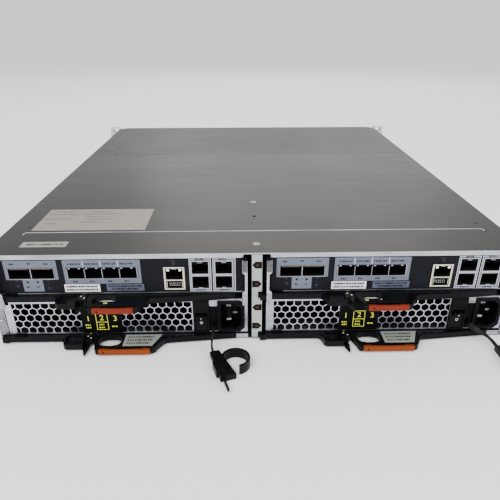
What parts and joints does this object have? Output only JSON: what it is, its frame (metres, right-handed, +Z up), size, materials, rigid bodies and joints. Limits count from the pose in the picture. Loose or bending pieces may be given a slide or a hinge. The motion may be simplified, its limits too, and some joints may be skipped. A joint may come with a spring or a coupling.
{
  "type": "rack storage enclosure",
  "caption": "Low rack-mount steel storage unit with side-by-side removable controllers above removable power supplies, hinged ejector levers, ports, honeycomb vents and front drive carriers.",
  "frame": {"origin": "middle of the footprint without the cord retainers, at the underside of the base", "axes": "+Z up; the rear with the ports faces -Y; the drives face +Y; +X is to the right as the rear is seen"},
  "size_m": [0.4826, 0.5925, 0.084],
  "materials": {
    "galvanised_steel": "bright zinc-coated sheet",
    "brushed_steel_top": "dull brushed sheet",
    "front_steel": "dull brushed sheet",
    "screw_steel": "plated",
    "strip_steel": "satin light grey",
    "board_green": "satin solder mask",
    "ear_plastic": "satin grey",
    "carrier_plastic": "fine texture",
    "dark_face": "satin dark grey",
    "port_metal": "tinned",
    "cream_plastic": "smooth",
    "black_plastic": "smooth black",
    "red_plastic": "smooth",
    "orange_plastic": "smooth",
    "strap_nylon": "woven look",
    "grille_steel": "bright",
    "fan_plastic": "moulded",
    "fitting_plastic": "moulded",
    "rocker_plastic": "smooth",
    "tie_plastic": "moulded",
    "clip_plastic": "moulded"
  },
  "bodies": {
    "chassis": {"chassis_tub": "galvanised_steel", "rear_cover": "brushed_steel_top", "front_deck": "front_steel", "cover_screws": "screw_steel", "center_wall": "strip_steel", "module_shelf": "galvanised_steel", "midplane_board": "board_green", "drive_cage": "galvanised_steel", "ear_left": "ear_plastic", "ear_right": "ear_plastic"},
    "drive_carrier_1": {"drive_1": "carrier_plastic"},
    "drive_carrier_2": {"drive_2": "carrier_plastic"},
    "drive_carrier_3": {"drive_3": "carrier_plastic"},
    "drive_carrier_4": {"drive_4": "carrier_plastic"},
    "drive_carrier_5": {"drive_5": "carrier_plastic"},
    "drive_carrier_6": {"drive_6": "carrier_plastic"},
    "drive_carrier_7": {"drive_7": "carrier_plastic"},
    "drive_carrier_8": {"drive_8": "carrier_plastic"},
    "drive_carrier_9": {"drive_9": "carrier_plastic"},
    "drive_carrier_10": {"drive_10": "carrier_plastic"},
    "drive_carrier_11": {"drive_11": "carrier_plastic"},
    "drive_carrier_12": {"drive_12": "carrier_plastic"},
    "controller_a": {"controller_a_tray": "galvanised_steel", "controller_a_face": "dark_face", "controller_a_board": "board_green", "controller_a_sas_cage": "port_metal", "controller_a_sfp_cage": "port_metal", "controller_a_jacks": "cream_plastic"},
    "controller_a_ejector": {"controller_a_lever": "black_plastic", "controller_a_strap": "strap_nylon"},
    "controller_a_squeeze": {"controller_a_latch": "red_plastic"},
    "power_a": {"power_a_case": "galvanised_steel", "power_a_face": "grille_steel", "power_a_entry": "fitting_plastic", "power_a_retainer": "tie_plastic"},
    "power_a_ejector": {"power_a_lever": "black_plastic", "power_a_strap": "strap_nylon"},
    "power_a_squeeze": {"power_a_latch": "orange_plastic"},
    "power_a_rotor": {"power_a_fan": "fan_plastic"},
    "power_a_switch": {"power_a_rocker": "rocker_plastic"},
    "power_a_cable_clip": {"power_a_clip": "clip_plastic"},
    "controller_b": {"controller_b_tray": "galvanised_steel", "controller_b_face": "dark_face", "controller_b_board": "board_green", "controller_b_sas_cage": "port_metal", "controller_b_sfp_cage": "port_metal", "controller_b_jacks": "cream_plastic"},
    "controller_b_ejector": {"controller_b_lever": "black_plastic", "controller_b_strap": "strap_nylon"},
    "controller_b_squeeze": {"controller_b_latch": "red_plastic"},
    "power_b": {"power_b_case": "galvanised_steel", "power_b_face": "grille_steel", "power_b_entry": "fitting_plastic", "power_b_retainer": "tie_plastic"},
    "power_b_ejector": {"power_b_lever": "black_plastic", "power_b_strap": "strap_nylon"},
    "power_b_squeeze": {"power_b_latch": "orange_plastic"},
    "power_b_rotor": {"power_b_fan": "fan_plastic"},
    "power_b_switch": {"power_b_rocker": "rocker_plastic"},
    "power_b_cable_clip": {"power_b_clip": "clip_plastic"}
  },
  "joints": [
    {"name": "drive_1_slide", "type": "slide", "parent": "chassis", "child": "drive_carrier_1", "axis": [0, 1, 0], "range_m": [0, 0.18]},
    {"name": "drive_2_slide", "type": "slide", "parent": "chassis", "child": "drive_carrier_2", "axis": [0, 1, 0], "range_m": [0, 0.18]},
    {"name": "drive_3_slide", "type": "slide", "parent": "chassis", "child": "drive_carrier_3", "axis": [0, 1, 0], "range_m": [0, 0.18]},
    {"name": "drive_4_slide", "type": "slide", "parent": "chassis", "child": "drive_carrier_4", "axis": [0, 1, 0], "range_m": [0, 0.18]},
    {"name": "drive_5_slide", "type": "slide", "parent": "chassis", "child": "drive_carrier_5", "axis": [0, 1, 0], "range_m": [0, 0.18]},
    {"name": "drive_6_slide", "type": "slide", "parent": "chassis", "child": "drive_carrier_6", "axis": [0, 1, 0], "range_m": [0, 0.18]},
    {"name": "drive_7_slide", "type": "slide", "parent": "chassis", "child": "drive_carrier_7", "axis": [0, 1, 0], "range_m": [0, 0.18]},
    {"name": "drive_8_slide", "type": "slide", "parent": "chassis", "child": "drive_carrier_8", "axis": [0, 1, 0], "range_m": [0, 0.18]},
    {"name": "drive_9_slide", "type": "slide", "parent": "chassis", "child": "drive_carrier_9", "axis": [0, 1, 0], "range_m": [0, 0.18]},
    {"name": "drive_10_slide", "type": "slide", "parent": "chassis", "child": "drive_carrier_10", "axis": [0, 1, 0], "range_m": [0, 0.18]},
    {"name": "drive_11_slide", "type": "slide", "parent": "chassis", "child": "drive_carrier_11", "axis": [0, 1, 0], "range_m": [0, 0.18]},
    {"name": "drive_12_slide", "type": "slide", "parent": "chassis", "child": "drive_carrier_12", "axis": [0, 1, 0], "range_m": [0, 0.18]},
    {"name": "controller_a_slide", "type": "slide", "parent": "chassis", "child": "controller_a", "axis": [0, -1, 0], "range_m": [0, 0.3]},
    {"name": "power_a_slide", "type": "slide", "parent": "chassis", "child": "power_a", "axis": [0, -1, 0], "range_m": [0, 0.3]},
    {"name": "controller_a_lever_swing", "type": "hinge", "parent": "controller_a", "child": "controller_a_ejector", "pos_m": [-0.2073, -0.249, 0.0445], "axis": [0, 0, -1], "range_deg": [0, 70]},
    {"name": "controller_a_latch_press", "type": "slide", "parent": "controller_a_ejector", "child": "controller_a_squeeze", "axis": [0, 1, 0], "range_m": [0, 0.0012], "stiffness_N_per_m": 300, "springref_m": -0.0005},
    {"name": "power_a_lever_swing", "type": "hinge", "parent": "power_a", "child": "power_a_ejector", "pos_m": [-0.2073, -0.249, 0.0042], "axis": [0, 0, -1], "range_deg": [0, 70], "deforming": ["power_a_retainer", "power_a_clip"]},
    {"name": "power_a_latch_press", "type": "slide", "parent": "power_a_ejector", "child": "power_a_squeeze", "axis": [0, 1, 0], "range_m": [0, 0.0012], "stiffness_N_per_m": 300, "springref_m": -0.0005},
    {"name": "power_a_fan_spin", "type": "hinge", "parent": "power_a", "child": "power_a_rotor", "pos_m": [-0.1788, -0.22, 0.021], "axis": [0, -1, 0], "continuous": true},
    {"name": "power_a_rocker_tilt", "type": "hinge", "parent": "power_a", "child": "power_a_switch", "pos_m": [-0.04795, -0.246, 0.0191], "axis": [-1, 0, 0], "range_deg": [0, 14]},
    {"name": "power_a_clip_slide", "type": "slide", "parent": "power_a", "child": "power_a_cable_clip", "axis": [0.3025, -0.9531, 0], "range_m": [0, 0.007]},
    {"name": "controller_b_slide", "type": "slide", "parent": "chassis", "child": "controller_b", "axis": [0, -1, 0], "range_m": [0, 0.3]},
    {"name": "power_b_slide", "type": "slide", "parent": "chassis", "child": "power_b", "axis": [0, -1, 0], "range_m": [0, 0.3]},
    {"name": "controller_b_lever_swing", "type": "hinge", "parent": "controller_b", "child": "controller_b_ejector", "pos_m": [0.0153, -0.249, 0.0445], "axis": [0, 0, -1], "range_deg": [0, 70]},
    {"name": "controller_b_latch_press", "type": "slide", "parent": "controller_b_ejector", "child": "controller_b_squeeze", "axis": [0, 1, 0], "range_m": [0, 0.0012], "stiffness_N_per_m": 300, "springref_m": -0.0005},
    {"name": "power_b_lever_swing", "type": "hinge", "parent": "power_b", "child": "power_b_ejector", "pos_m": [0.0153, -0.249, 0.0042], "axis": [0, 0, -1], "range_deg": [0, 70], "deforming": ["power_b_retainer", "power_b_clip"]},
    {"name": "power_b_latch_press", "type": "slide", "parent": "power_b_ejector", "child": "power_b_squeeze", "axis": [0, 1, 0], "range_m": [0, 0.0012], "stiffness_N_per_m": 300, "springref_m": -0.0005},
    {"name": "power_b_fan_spin", "type": "hinge", "parent": "power_b", "child": "power_b_rotor", "pos_m": [0.0438, -0.22, 0.021], "axis": [0, -1, 0], "continuous": true},
    {"name": "power_b_rocker_tilt", "type": "hinge", "parent": "power_b", "child": "power_b_switch", "pos_m": [0.17465, -0.246, 0.0191], "axis": [-1, 0, 0], "range_deg": [0, 14]},
    {"name": "power_b_clip_slide", "type": "slide", "parent": "power_b", "child": "power_b_cable_clip", "axis": [0, -1, 0], "range_m": [0, 0.007]}
  ]
}
